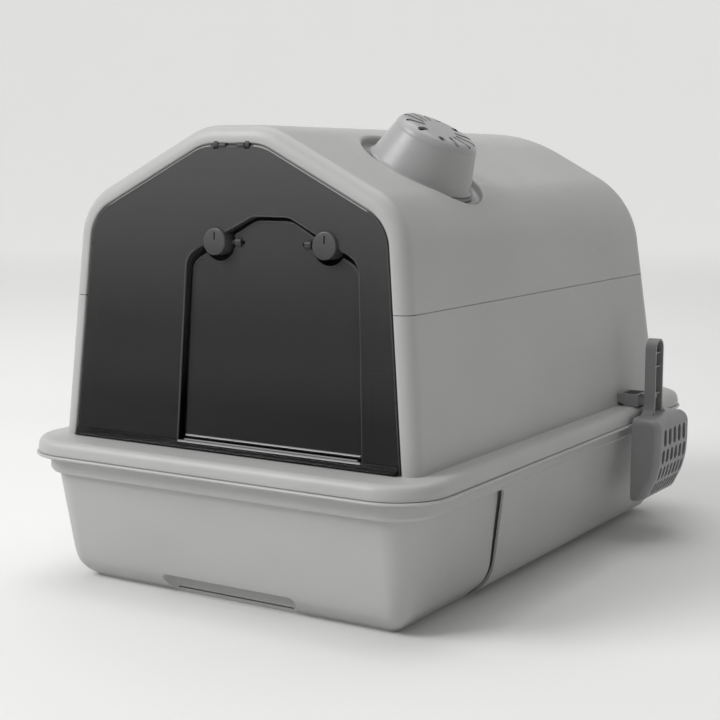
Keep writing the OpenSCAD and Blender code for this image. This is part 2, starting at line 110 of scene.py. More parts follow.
def arch(s, d):
    """Open arch outline from the right foot over the crown to the left foot, inset by d."""
    n, steps, crown_steps = 14, 7, 4
    p0, p1, p2 = np.array(s[0:2]), np.array(s[2:4]), np.array(s[4:6])
    foot = np.array([s[0] - d * np.hypot(*(p1 - p0)) / (p1[1] - p0[1]), s[1]])
    low, high = corner(p0, p1, p2, s[6], d, n), corner(p1, p2, (-p2[0], p2[1]), s[7], d, n)
    right = [foot] + between(foot, low[0], steps) + low + between(low[-1], high[0], steps) + high
    left = [np.array([-p[0], p[1]]) for p in right[::-1]]
    return np.array(right + between(right[-1], left[0], crown_steps) + left)


def along(y):
    """0 at the hood's front, 1 at its back."""
    return min(1, max(0, (y - HOOD_FRONT) / (HOOD_BACK - HOOD_FRONT)))


def fall(z, y):
    """Heights on the hood brought down as the roof falls towards the back."""
    return LEDGE_Z + (z - LEDGE_Z) * (1 - ROOF_FALL * (y - HOOD_FRONT) / (ROOF_Z - LEDGE_Z))


def hood_arch(y):
    """The hood's cross-section, which grows rounder towards the back."""
    w = along(y)
    mix = lambda a, b: (1 - w) * a + w * b
    return (HOOD_HW, LEDGE_Z, *SHOULDER, mix(34, 50), ROOF_Z, mix(52, 84), mix(63, 160))


def section(s, y, d, dx=0):
    """An arch as 3-D points on the plane of the hood's lean at y."""
    p = arch(s, d)
    w = along(y)
    z = fall(p[:, 1], y)
    lean = (1 - w) * FRONT_LEAN - w * BACK_LEAN
    return np.stack([p[:, 0] + dx, y + lean * (z - LEDGE_Z), z], 1)


def plan(x, front, back, r, z, n=14):
    """Rounded rectangle seen from above."""
    out = []
    for q in range(4):
        for i in range(n + 1):
            t = QUARTER * (q + i / n)
            cx = x - r if q in (0, 3) else r - x
            cy = back - r if q < 2 else front + r
            out.append((cx + r * math.cos(t), cy + r * math.sin(t), z))
    return np.array(out)


def tub_ring(z, inset, extra=0):
    """The base's outline drawn in by inset, and by extra more at the front."""
    return plan(HW - inset, -HL + inset + extra, HL - inset, max(CORNER_R - inset, 8), z)


def arc(cx, cy, r, a0, a1, n=5):
    turns = [math.radians(a) for a in np.linspace(a0, a1, n + 1)]
    return [(cx + r * math.cos(t), cy + r * math.sin(t)) for t in turns]


def ramp(p, q, n=6):
    """Points on the line from p to q, without p."""
    return [tuple(a + (b - a) * k / n for a, b in zip(p, q)) for k in range(1, n + 1)]


def rounded(points, radii, n=4):
    """Closed anticlockwise outline with its corners rounded."""
    out = []
    for i, (p, r) in enumerate(zip(points, radii)):
        after = points[(i + 1) % len(points)]
        out += corner(points[i - 1], p, after, r, 0, n) if r else [np.array(p, float)]
    return out


# ------------------------------------------------------------------ meshes
@contextmanager
def editing(o):
    bm = bmesh.new()
    bm.from_mesh(o.data)
    yield bm
    bm.to_mesh(o.data)
    bm.free()


def to_object(name, bm, smooth=35):
    """New object from bm, with sharp edges above the angle smooth."""
    bmesh.ops.recalc_face_normals(bm, faces=bm.faces)
    me = bpy.data.meshes.new(name)
    bm.to_mesh(me)
    bm.free()
    o = bpy.data.objects.new(name, me)
    bpy.context.scene.collection.objects.link(o)
    shade(o, smooth)
    return o


def shade(o, angle=35):
    o.data.polygons.foreach_set("use_smooth", [True] * len(o.data.polygons))
    o.data.set_sharp_from_angle(angle=math.radians(angle))


def loft(name, rings, closed=True, caps=True, smooth=35):
    """Mesh through rings of equal length, given in mm."""
    bm = bmesh.new()
    m = len(rings[0])
    pts = np.concatenate([np.asarray(r, float) for r in rings]) * MM
    vs = [bm.verts.new(p) for p in pts]
    for k in range(len(rings) - 1):
        for i in range(m if closed else m - 1):
            j = (i + 1) % m
            bm.faces.new((vs[k * m + i], vs[k * m + j], vs[(k + 1) * m + j], vs[(k + 1) * m + i]))
    if caps:
        bm.faces.new(vs[:m][::-1])
        bm.faces.new(vs[-m:])
    return to_object(name, bm, smooth)


def lathe(name, profile, matrix, n=96):
    """Profile of (r, z) that starts and ends on the axis, turned round matrix's Z."""
    bm = bmesh.new()
    cols = []
    for r, z in profile:
        if r == 0:
            cols.append([bm.verts.new(matrix @ Vector((0, 0, z * MM)))] * n)
        else:
            cols.append([bm.verts.new(matrix @ Vector((r * math.cos(t) * MM, r * math.sin(t) * MM, z * MM)))
                         for t in np.linspace(0, 2 * math.pi, n, endpoint=False)])
    for a, b in zip(cols, cols[1:]):
        for i in range(n):
            j = (i + 1) % n
            face = list(dict.fromkeys((a[i], a[j], b[j], b[i])))
            if len(face) > 2:
                bm.faces.new(face)
    return to_object(name, bm)


def prism(name, outline, vec):
    """Outline of 3-D points in mm moved along vec."""
    a = np.array(outline, float)
    return loft(name, [a, a + np.array(vec, float)])


def block(name, lo, hi):
    (x0, y0, z0), (x1, y1, z1) = lo, hi
    return prism(name, [(x0, y0, z0), (x1, y0, z0), (x1, y1, z0), (x0, y1, z0)], (0, 0, z1 - z0))


def placed(o, at):
    o.data.transform(at)
    return o


def apply(o):
    """Works the object's modifiers into its mesh."""
    dg = bpy.context.evaluated_depsgraph_get()
    me = bpy.data.meshes.new_from_object(o.evaluated_get(dg))
    o.modifiers.clear()
    o.data = me
    return o


def boolean(o, op, *others):
    """Adds, cuts or intersects the others, which are used up."""
    for b in others:
        m = o.modifiers.new("b", "BOOLEAN")
        m.operation, m.object, m.solver = op, b, "MANIFOLD"
        apply(o)
        bpy.data.objects.remove(b)
    shade(o)
    return o


def bevel(o, width, segments=2, angle=32, edge=0):
    """Rounds the sharp edges; edge is the material slot that the rounded strips take."""
    o.data.materials.clear()
    for _ in range(edge + 1):
        o.data.materials.append(None)
    m = o.modifiers.new("v", "BEVEL")
    m.width, m.segments, m.limit_method, m.angle_limit = width * MM, segments, "ANGLE", math.radians(angle)
    m.use_clamp_overlap = True
    m.material = edge
    apply(o)
    return flatten(o)


def flatten(o):
    """Smooth shading in which the large faces keep their own normals."""
    shade(o, 50)
    m = o.modifiers.new("w", "WEIGHTED_NORMAL")
    m.keep_sharp, m.weight = True, 80
    return apply(o)


def tidy(o):
    """Welds the specks a boolean leaves, so that a bevel isn't held back by them."""
    with editing(o) as bm:
        bmesh.ops.remove_doubles(bm, verts=bm.verts, dist=0.02 * MM)
        bmesh.ops.dissolve_limit(bm, angle_limit=math.radians(0.3), verts=bm.verts, edges=bm.edges)
    shade(o)
    return o


def stands_for(o, body, material, *nodes, slot="light_plastic"):
    """Material, or one for each slot; the body it rides; and the CAD nodes it replaces."""
    slots = o.data.materials
    wanted = material if isinstance(material, tuple) else (material,)
    if len(wanted) == 1:
        slots.clear()
    while len(slots) < len(wanted):
        slots.append(None)
    for k, m in enumerate(wanted):
        slots[k] = m
    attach(o, body)
    if nodes:
        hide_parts(*nodes)
    return o


def join(a, *others):
    """One object from several, which stay separate shells in its mesh."""
    bm = bmesh.new()
    for o in (a, *others):
        bm.from_mesh(o.data)
    bm.to_mesh(a.data)
    bm.free()
    for o in others:
        bpy.data.objects.remove(o)
    shade(a)
    return a


# ------------------------------------------------------------------ materials
def nodes_of(name):
    m = bpy.data.materials.new(name)
    m.use_nodes = True
    t = m.node_tree
    return m, t, t.nodes["Principled BSDF"]


def noise(t, where, scale, detail=2):
    n = t.nodes.new("ShaderNodeTexNoise")
    n.inputs["Scale"].default_value = scale
    n.inputs["Detail"].default_value = detail
    t.links.new(where, n.inputs["Vector"])
    return n.outputs["Fac"]


def spread(t, value, low, high, a=0.3, b=0.7):
    """Value from a to b mapped onto low to high."""
    n = t.nodes.new("ShaderNodeMapRange")
    n.inputs["From Min"].default_value, n.inputs["From Max"].default_value = a, b
    n.inputs["To Min"].default_value, n.inputs["To Max"].default_value = low, high
    t.links.new(value, n.inputs["Value"])
    return n.outputs["Result"]


def tint(t, fac, c0, c1):
    n = t.nodes.new("ShaderNodeMix")
    n.data_type = "RGBA"
    n.inputs["A"].default_value, n.inputs["B"].default_value = (*c0, 1), (*c1, 1)
    t.links.new(fac, n.inputs["Factor"])
    return n.outputs["Result"]


def bump(t, p, height, strength, distance):
    n = t.nodes.new("ShaderNodeBump")
    n.inputs["Strength"].default_value = strength
    n.inputs["Distance"].default_value = distance
    t.links.new(height, n.inputs["Height"])
    t.links.new(n.outputs["Normal"], p.inputs["Normal"])


def plastic(name, colour, rough=0.42):
    """Moulded plastic: fine spark-eroded grain, slight drift in colour and gloss."""
    grain, depth, drift = 900, 0.00006, 0.03
    m, t, p = nodes_of(name)
    where = t.nodes.new("ShaderNodeTexCoord").outputs["Object"]
    c = np.array(colour)
    patches = spread(t, noise(t, where, 9), 0, 1)
    t.links.new(tint(t, patches, c * (1 - drift), c * (1 + drift)), p.inputs["Base Color"])
    t.links.new(spread(t, noise(t, where, 140, 4), rough - 0.04, rough + 0.05), p.inputs["Roughness"])
    bump(t, p, noise(t, where, grain, 3), 0.35, depth)
    p.inputs["IOR"].default_value = 1.48
    return m


def smoked(name, low, high, z0, z1, alpha):
    """Smoked see-through plastic, as dark as low at height z0 and as light as high at z1; lighter upwards as painted
    reflection.
    """
    m, t, p = nodes_of(name)
    where = t.nodes.new("ShaderNodeTexCoord").outputs["Object"]
    xyz = t.nodes.new("ShaderNodeSeparateXYZ")
    t.links.new(where, xyz.inputs["Vector"])
    fac = spread(t, xyz.outputs["Z"], 0, 1, z0 * MM, z1 * MM)
    t.links.new(tint(t, fac, (low,) * 3, (high,) * 3), p.inputs["Base Color"])
    t.links.new(spread(t, noise(t, where, 60, 3), 0.07, 0.13), p.inputs["Roughness"])
    bump(t, p, noise(t, where, 40, 2), 0.08, 0.0002)
    p.inputs["Alpha"].default_value = alpha
    p.inputs["Specular IOR Level"].default_value = 0.28
    return m


def rubber(name, colour, grain=500, rough=0.75):
    """Matt and mottled, for rubber and felt."""
    m, t, p = nodes_of(name)
    where = t.nodes.new("ShaderNodeTexCoord").outputs["Object"]
    c = np.array(colour)
    t.links.new(tint(t, spread(t, noise(t, where, 60, 4), 0, 1), c * 0.85, c * 1.2), p.inputs["Base Color"])
    p.inputs["Roughness"].default_value = rough
    bump(t, p, noise(t, where, grain, 5), 0.6, 0.0003)
    return m


def steel(name):
    m, t, p = nodes_of(name)
    where = t.nodes.new("ShaderNodeTexCoord").outputs["Object"]
    t.links.new(tint(t, noise(t, where, 300, 5), (0.5,) * 3, (0.68,) * 3), p.inputs["Base Color"])
    t.links.new(spread(t, noise(t, where, 700, 2), 0.25, 0.4), p.inputs["Roughness"])
    p.inputs["Metallic"].default_value = 1
    return m


LIGHT = plastic("light_grey_plastic", (0.46, 0.46, 0.455))
TRAY = plastic("drawer_grey_plastic", (0.465, 0.465, 0.46))
TRIM = plastic("trim_grey_plastic", (0.38, 0.38, 0.38), 0.34)
MID = plastic("mid_grey_plastic", (0.265, 0.265, 0.267), 0.4)
# panel, flap and discs grow lighter with height: painted reflection
PANEL = smoked("smoked_panel", 0.004, 0.124, 170, 405, 0.78)
FLAP = smoked("smoked_flap", 0.004, 0.116, 170, 405, 0.80)
DISC = smoked("smoked_disc", 0.07, 0.14, 295, 325, 0.85)
# painted highlights on rounded edges: bright at the sill and roof, fainter up the sides
PAINTED_GLINT = smoked("smoked_painted_glint", 0.34, 0.42, 140, 390, 0.95)
PAINTED_FAINT_GLINT = smoked("smoked_edge", 0.09, 0.14, 140, 390, 0.9)
DARK = plastic("dark_plastic", (0.03, 0.03, 0.031), 0.5)
# painted shade for the inside of the deodoriser cap
SHADE = plastic("cap_inside_painted_shade", (0.012, 0.012, 0.012), 0.8)
RUBBER = rubber("soft_black_rubber", (0.05, 0.05, 0.052))
FELT = rubber("carbon_felt", (0.02, 0.02, 0.021), 900, 0.95)
STEEL = steel("steel")


# ------------------------------------------------------------------ base
def bay(gap, bottom):
    """Side view of the drawer's front less gap, pushed across the whole width."""
    past, front = 20, -HL - 20
    low = (SEAM_Y + SEAM_RUN - gap - 9 * (FLOOR_Z - bottom), bottom)
    high = (SEAM_Y - gap, BAY_TOP - gap)
    pts = rounded([(front, low[1]), low, high, (front, high[1])], (0, 26, 8, 0), 14)
    return prism("c", [(-HW - past, *p) for p in pts], (2 * (HW + past), 0, 0))


def finger_pull():
    """Recess under the drawer's front edge, with end walls that curve into its back."""
    r, run, draw_in = 6, 18, 13
    rings = []
    for a in np.linspace(0, QUARTER, 9):
        w = PULL_HW - draw_in * (1 - math.cos(a))
        pts = rounded([(-w, -1), (w, -1), (w, PULL_Z), (-w, PULL_Z)], (0, 0, r, r), 5)
        rings.append([(p[0], PULL_Y - run + run * math.sin(a), p[1]) for p in pts])
    rings.insert(0, [(x, -HL - 30, z) for x, _, z in rings[0]])
    return loft("c", rings)


def foot_recess(sx, sy):
    """One of the four shallow recesses under the base, either side of its cross ribs."""
    rib, depth = 5, 1.6
    cx, cy = sx * (rib + HW - FOOT_RECESS) / 2, sy * (rib + HL - FOOT_RECESS) / 2
    x, y = (HW - FOOT_RECESS - rib) / 2, (HL - FOOT_RECESS - rib) / 2
    return loft("c", [plan(x, -y, y, 8, z, 6) + (cx, cy, 0) for z in (-1, depth)])


def build_base():
    # (height, inset) up the outside, over the rim, then down the inside
    outer = [(0, 50), (0.5, 49.5), (3, 49.1), (FLOOR_Z + 0.1, 49), (FLOOR_Z + 0.4, 45.2), (5.4, 41.5),
             (8, 37.6), (12, 34.4), (16, 32.6), (22, 30.8), (28, 29.6)]
    outer += ramp((28, 29.6), (100, 14.5))
    band = [(101.5, 13.6), (102.6, 12.7), (103.6, 12.5), (108, 12.5), (112.2, 12.5)]
    groove = [(112.9, 13.1), (113.4, 14.2), (114.9, 14.2), (115, 13.4)]
    rim = [(115, 2.2), (115.3, 1.1), (116, 0.35), (116.8, 0), (117.4, 0.3), (118, 1.2), (118, 12.8)]
    inner = [(117.4, 14.9), (BAY_TOP, 17), (28, 32), (18, 35), (14, 37), (8, 47), (FLOOR_Z - 0.1, 56)]
    o = loft("base_body", [tub_ring(*g) for g in outer + band + groove + rim + inner])
    boolean(o, "DIFFERENCE", bay(0, FLOOR_Z), finger_pull())
    boolean(o, "DIFFERENCE", *[foot_recess(sx, sy) for sx in (-1, 1) for sy in (-1, 1)])
    bevel(tidy(o), 0.8, 2, 40)
    stands_for(o, "base", LIGHT, "base_frame")


def build_drawer():
    top, clear_foot = BAY_TOP - DRAWER_GAP, 48.2
    face = [(2, 48.2), (3.2, 47.2), (4.5, 45.4), (6, 43.6), (8, 41.7), (10.5, 39.3), (13, 37.2), (16, 35.2),
            (20, 33.5), (28, 31.6)]
    face += ramp((28, 31.6), (104, 19.4))
    o = loft("drawer_body", [tub_ring(*g) for g in face])
    boolean(o, "INTERSECT", bay(DRAWER_GAP, 3))
    boolean(o, "DIFFERENCE", loft("c", [tub_ring(z, clear_foot) for z in (0, FLOOR_Z + 1.2)]))
    # the pan behind the front: (height, inset, extra inset at the front)
    pan = [(7, 56, 2), (10, 50, 2), (16, 43, 2), (28, 36, 1), (top - 0.6, 21.7, 1)]
    boolean(o, "UNION", loft("c", [tub_ring(*g) for g in pan]))
    hollow = [(9.6, 60, 6), (13, 53, 6), (20, 46, 6), (27, 40, 0), (32, 37.8, 0), (top + 1, 24, 0)]
    boolean(o, "DIFFERENCE", loft("c", [tub_ring(*g) for g in hollow]), finger_pull())
    bevel(tidy(o), 1.5, 3, 38)
    stands_for(o, "drawer", TRAY, "litter_drawer")


# ------------------------------------------------------------------ hood
def quarter_turn(n, start=0):
    return np.linspace(start, QUARTER, n)


def hood_rows():
    """(y, inset) of the hood's sheet: inside from the back to the front, round the frame, outside to the back."""
    front, turn = HOOD_FRONT, BACK_R - WALL
    bend = HOOD_BACK - BACK_R
    inner = [(HOOD_BACK - WALL, d) for d in (100, 70)]
    inner += [(bend + turn * math.sin(a), WALL + turn * (1 - math.cos(a))) for a in np.linspace(QUARTER, 0, 10)]
    inner += [(y, WALL) for y in np.linspace(bend - 20, front + FRONT_WALL, 16)]
    frame_in = [(front + FRONT_WALL, LEDGE_IN), (front + REBATE + 0.5, LEDGE_IN), (front + REBATE, LEDGE_IN - 0.5),
                (front + REBATE, FRAME_W + 0.5), (front + REBATE - 0.4, FRAME_W)]
    frame_in += [(front + 1.6 - 1.6 * math.sin(a), FRAME_W - 1.6 * (1 - math.cos(a))) for a in quarter_turn(5)]
    frame_in += [(front + EDGE_R * (1 - math.cos(a)), EDGE_R * (1 - math.sin(a))) for a in quarter_turn(11, 0.02)]
    outer = [(y, 0) for y in np.linspace(front + EDGE_R + 6, bend - 8, 34)]
    outer += [(bend + BACK_R * math.sin(a), BACK_R * (1 - math.cos(a))) for a in quarter_turn(17)]
    outer += [(HOOD_BACK, d) for d in (60, 90)]
    return inner + frame_in + outer


def hood_sheet(name, z_from, z_to):
    """The hood between two heights, with its cut edges closed."""
    o = loft(name, [section(hood_arch(y), y, d) for y, d in hood_rows()], closed=False)
    with editing(o) as bm:
        bmesh.ops.holes_fill(bm, edges=[e for e in bm.edges if e.is_boundary], sides=0)
        for z, clear in ((z_from, "clear_inner"), (z_to, "clear_outer")):
            cut = bmesh.ops.bisect_plane(bm, geom=bm.verts[:] + bm.edges[:] + bm.faces[:], dist=1e-7,
                                         plane_co=(0, 0, z * MM), plane_no=(0, 0, 1), **{clear: True})
            loop = [g for g in cut["geom_cut"] if isinstance(g, bmesh.types.BMEdge)]
            if loop:
                bmesh.ops.holes_fill(bm, edges=loop, sides=0)
        bmesh.ops.recalc_face_normals(bm, faces=bm.faces)
    shade(o)
    return o


def roof_frame():
    """Axes of the deodoriser: its place on the roof's slope, with Z square to the slope."""
    _, _, shoulder_x, shoulder_z, crown_x, *_ = hood_arch(DEO[1])
    tilt = math.atan2(ROOF_Z - shoulder_z, shoulder_x - crown_x)
    z = fall(ROOF_Z - math.tan(tilt) * (DEO[0] - crown_x), DEO[1])
    return Matrix.Translation(Vector((*DEO, z)) * MM) @ Matrix.Rotation(tilt, 4, "Y")


ROOF = roof_frame()


def well_cup(hood):
    """The round well; its lip follows the roof, found by casting rays on the unpierced hood."""
    bm = bmesh.new()
    bm.from_mesh(hood.data)
    tree = BVHTree.FromBMesh(bm)
    bm.free()
    down = ROOF.to_3x3() @ Vector((0, 0, -1))
    above, edge, turned = 40, WELL_R + WELL_LIP, 3
    cols = []
    for t in np.linspace(0, 2 * math.pi, 120, endpoint=False):
        start = ROOF @ Vector((edge * math.cos(t) * MM, edge * math.sin(t) * MM, above * MM))
        h = above - tree.ray_cast(start, down)[3] / MM
        prof = [(edge + 0.5, h - 2), (edge + 0.5, h - 0.6), (edge, h)]
        prof += [(WELL_R + WELL_LIP * (1 - math.sin(a)), h - WELL_LIP * (1 - math.cos(a)))
                 for a in quarter_turn(7, 0.15)]
        prof += [(WELL_R - 0.1, WELL_FLOOR + turned)]
        prof += [(WELL_R - turned * (1 - math.cos(a)), WELL_FLOOR + turned - turned * math.sin(a))
                 for a in quarter_turn(5, 0.3)]
        prof += [(PORT_R + 0.8, WELL_FLOOR), (PORT_R, WELL_FLOOR - 0.8), (PORT_R, WELL_FLOOR - WALL)]
        prof += [(WELL_R - 1, WELL_FLOOR - WALL), (WELL_R + WALL - 0.7, WELL_FLOOR - 0.5)]
        cols.append([ROOF @ (Vector((r * math.cos(t), r * math.sin(t), z)) * MM) for r, z in prof])
    bm = bmesh.new()
    vs = [[bm.verts.new(p) for p in c] for c in cols]
    m = len(vs[0])
    for a, b in zip(vs, vs[1:] + vs[:1]):
        for k in range(m):
            bm.faces.new((a[k], b[k], b[(k + 1) % m], a[(k + 1) % m]))
    return to_object("c", bm)


def hinge_lugs():
    """Two small lugs at the crown that hold the front panel's pins."""
    lugs = []
    for s in (-1, 1):
        x, y = s * LUG_X, HOOD_FRONT + FRONT_LEAN * (HINGE_Z - LEDGE_Z) + HINGE_DEPTH
        prof = arc(0, 0, 2.2, -200, 20, 8) + [(1.6, 4), (-1.2, 4)]
        lugs.append(loft("c", [[(x + dx, y + p[0] * k, HINGE_Z + p[1] * k) for p in prof]
                               for dx, k in ((-2.3, 0.8), (-1.9, 1), (1.9, 1), (2.3, 0.8))]))
    lugs = join(*lugs)
    lugs.name = "panel_hinge_lugs"
    return lugs


def flange():
    """Rounded bead all round, a flat ledge, then the lip under the hood."""
    bead = [(118.3, 4.8), (118.3, 2.7), (118.6, 2.1), (119.4, 1.95), (123, 2.1), (125.6, 2.5), (127.6, 3.2),
            (129.2, 4.3), (130.4, 5.8), (131.2, 7.6), (131.5, 9.6)]
    rings = [tub_ring(*g) for g in bead]
    rings += [plan(HW - 28.4, -249.5, 272.5, 26, z) for z in (131.5, 129)]
    rings += [tub_ring(129, 8.2), tub_ring(120, 4.9)]
    o = loft("c", rings + [rings[0]], caps=False)
    with editing(o) as bm:
        bmesh.ops.remove_doubles(bm, verts=bm.verts, dist=0.001 * MM)
        bmesh.ops.recalc_face_normals(bm, faces=bm.faces)
    shade(o)
    return o


def seam_tongue():
    """Strip behind the seam, which closes it from inside."""
    inset, turn, bend = WALL + 0.3, 35, HOOD_BACK - BACK_R
    path = [(y, inset) for y in np.linspace(HOOD_FRONT + 14, bend, 12)]
    path += [(bend + turn * math.sin(a), inset + turn * (1 - math.cos(a))) for a in quarter_turn(10, 0.1)]
    rows = []
    for z in (SEAM_Z - 8, SEAM_Z + 6):
        pts = []
        for y, d in path:
            sec = section(hood_arch(y), y, d)[:9]
            order = np.arange(len(sec))
            k = np.interp(z, sec[:, 2], order)
            pts.append([np.interp(k, order, sec[:, i]) for i in range(3)])
        pts = np.array(pts)
        rows.append(np.concatenate([pts, (pts * (-1, 1, 1))[::-1]]))
    o = loft("c", rows, closed=False, caps=False)
    m = o.modifiers.new("s", "SOLIDIFY")
    m.thickness, m.offset = 1.4 * MM, 1
    return apply(o)


def build_hood():
    half_seam, past = 0.28, 40
    low = hood_sheet("hood_lower_body", LEDGE_Z - 5, SEAM_Z - half_seam)
    up = hood_sheet("hood_upper_body", SEAM_Z + half_seam, ROOF_Z + past)
    cup, r = well_cup(up), WELL_R + WELL_LIP
    boolean(up, "DIFFERENCE", lathe("c", [(0, -60), (r, -60), (r, 40), (0, 40)], ROOF, 120))
    boolean(up, "UNION", cup)
    stands_for(hinge_lugs(), "hood", DARK, slot="smoked_plastic")
    stands_for(up, "hood", LIGHT, "upper_hood")
    join(low, flange(), seam_tongue())
    stands_for(low, "hood", LIGHT, "lower_hood")


# ------------------------------------------------------------------ front panel
def on_face(x, z, depth):
    """Axes on the leaning front, depth behind it."""
    y = HOOD_FRONT + FRONT_LEAN * (z - LEDGE_Z)
    return Matrix.Translation(Vector((x, y, z)) * MM) @ Matrix.Rotation(-math.atan(FRONT_LEAN), 4, "X") @ \
        Matrix.Translation(Vector((0, depth, 0)) * MM)


def plug(x, z, profile, n=64):
    """Profile of (r, depth) turned round the face's inward normal."""
    return lathe("c", profile, on_face(x, z, 0) @ Matrix.Rotation(-QUARTER, 4, "X"), n)


def barrel(x, z, depth, profile):
    """Profile of (r, x) turned round a level axis across the face."""
    return lathe("c", profile, on_face(x, z, depth) @ Matrix.Rotation(QUARTER, 4, "Y"), 32)


def slab(name, s, steps, dx=0):
    """Arch outline lofted through (depth, inset) steps behind the face."""
    return loft(name, [section(s, HOOD_FRONT + y, d, dx) for y, d in steps])


def strip(half, points):
    """Profile of (y, z) run along X, half to each side of the doorway's middle."""
    return prism("c", [(DOOR_X - half, *p) for p in points], (2 * half, 0, 0))


def paint_glints(o):
    """Slots: 1 painted bright highlight on edges at the sill and the roof, 2 fainter painted highlight on edges up
    the sides, 3 hinge barrels.
    """
    for f in o.data.polygons:
        x, z, facing = f.center.x / MM, f.center.z / MM, -f.normal.y
        off_middle = abs(x - DOOR_X)
        hinge = (abs(z - FLAP_Z) < 4.5 and 31 < off_middle < 39.5) or (z > 384 and abs(x) < 22)
        sill = off_middle < 94 and LEDGE_Z + 5.6 < z < LEDGE_Z + 13 and f.normal.z > 0.3
        at_disc = abs(z - FLAP_Z) < 17 and 38 < off_middle < 72
        if hinge and facing < 0.98:
            f.material_index = 3
        elif 0.3 < facing < 0.96 and not hinge and not at_disc and (sill or z > LEDGE_Z + 13):
            f.material_index = 1 if sill or z > 338 else 2
        else:
            f.material_index = 0


def build_panel():
    outline = list(hood_arch(HOOD_FRONT))
    outline[1] = PANEL_FOOT
    steps = [(3.3, 0.2), (3.0, 0), (1.6, 0), (0.9, 0.25), (PANEL_SET + 0.15, 0.8), (PANEL_SET, 1.6)]
    o = slab("panel_body", outline, [(y, PANEL_IN + d) for y, d in steps])
    sleeve = list(DOOR_ARCH)
    sleeve[1] -= 2
    boolean(o, "UNION", slab("c", sleeve, [(PANEL_SET + 1, -2), (DOOR_DEPTH - 0.6, -2), (DOOR_DEPTH, -1.4)], DOOR_X))

    # the stepped lip along its foot
    half = HOOD_HW - PANEL_IN - 1.5
    lip = rounded([(2, 0), (2, 7.2), (0.6, 7.2), (-0.9, 6.3), (-0.9, 4.7), (-2.2, 4), (-2.2, 2.2), (-4, 1.6),
                   (-4, 0)], (0, 0.4, 0.5, 0.5, 0, 0.5, 0, 0.5, 0), 2)
    boolean(o, "UNION", prism("c", [(-half, HOOD_FRONT + y, PANEL_FOOT + z) for y, z in lip], (2 * half, 0, 0)))
    for x0, x1 in ((-13.2, -5.7), (5.7, 13.2)):
        knuckle = [(0, x0), (1.8, x0), (2.2, x0 + 0.4), (2.2, x1 - 0.4), (1.8, x1), (0, x1)]
        boolean(o, "UNION", barrel(0, HINGE_Z, HINGE_DEPTH, knuckle))

    # the doorway, flared at the face, with a sloped sill and a ridge on it
    flare = [(-8, -1.3), (PANEL_SET - 0.1, -1.3), (PANEL_SET + 1.2, 0), (DOOR_DEPTH + 5, 0)]
    boolean(o, "DIFFERENCE", slab("c", DOOR_ARCH, flare, DOOR_X))
    y, z = HOOD_FRONT - 0.7, SILL_Z
    boolean(o, "DIFFERENCE", strip(92.9, [(y - 0.6, z - 1.8), (y + 1.8, z + 0.6), (y - 0.6, z + 0.6)]))
    y = HOOD_FRONT
    boolean(o, "UNION", strip(88, [(y + 2.2, z - 0.3), (y + 4.8, z - 0.3), (y + 3.6, z + 1)]))

    # room for the discs and for the hood's lugs
    r, back = BLOCK_R + 0.15, DOOR_DEPTH + 5
    for s in (-1, 1):
        boolean(o, "DIFFERENCE", plug(DOOR_X + s * BLOCK_X, FLAP_Z, [(0, -8), (r, -8), (r, back), (0, back)]))
        room = block("c", (-2.7, -5, -3), (2.7, 5, 5))
        boolean(o, "DIFFERENCE", placed(room, on_face(s * LUG_X, HINGE_Z, HINGE_DEPTH)))
    # the rounded edges take painted highlight, brighter at the sill and roof, fainter up the sides
    bevel(tidy(o), 1.0, 3, 50, 1)
    paint_glints(o)
    stands_for(o, "panel", (PANEL, PAINTED_GLINT, PAINTED_FAINT_GLINT, DARK), "front_panel", slot="smoked_plastic")


def build_flap():
    """The flap, a little smaller than the doorway, with a bead along its foot and two hinge barrels."""
    outline = [v + d for v, d in zip(DOOR_ARCH, (0, 1.8, 0, -4.5, 0, -1.2, 0, 0))]
    o = slab("flap_body", outline, [(6.5, 2.9), (7.6, 1.8), (8.5, 1.8), (9.5, 1.8), (9.9, 2.1)], DOOR_X)
    y, z = HOOD_FRONT + 6.9, outline[1]
    boolean(o, "UNION", strip(89, [(y + 0.4, z + 2.9), (y - 1.1, z + 1.4), (y - 1.1, z + 0.9), (y + 0.3, z + 0.4)]))
    hollow = list(outline)
    hollow[1] += 5
    boolean(o, "DIFFERENCE", slab("c", hollow, [(8.5, 4), (26, 4)], DOOR_X))
    for s in (-1, 1):
        notch = [(0, -8), (16.2, -8), (16.2, 30), (0, 30)]
        boolean(o, "DIFFERENCE", plug(DOOR_X + s * BLOCK_X, FLAP_Z, notch))
    for s in (-1, 1):
        at = (DOOR_X + s * BARREL_X, FLAP_Z, FLAP_AXIS)
        boolean(o, "UNION", barrel(*at, [(0, -3.4), (3.4, -3.4), (4, -2.8), (4, 2.8), (3.4, 3.4), (0, 3.4)]))
        boolean(o, "DIFFERENCE", barrel(*at, [(0, -6), (2, -6), (2, 6), (0, 6)]))
    # the flap's rounded edges take painted highlight, brighter at its foot, fainter up the sides
    bevel(tidy(o), 0.7, 2, 50, 1)
    paint_glints(o)
    stands_for(o, "flap", (FLAP, PAINTED_GLINT, PAINTED_FAINT_GLINT, DARK), "cat_flap", slot="smoked_plastic")


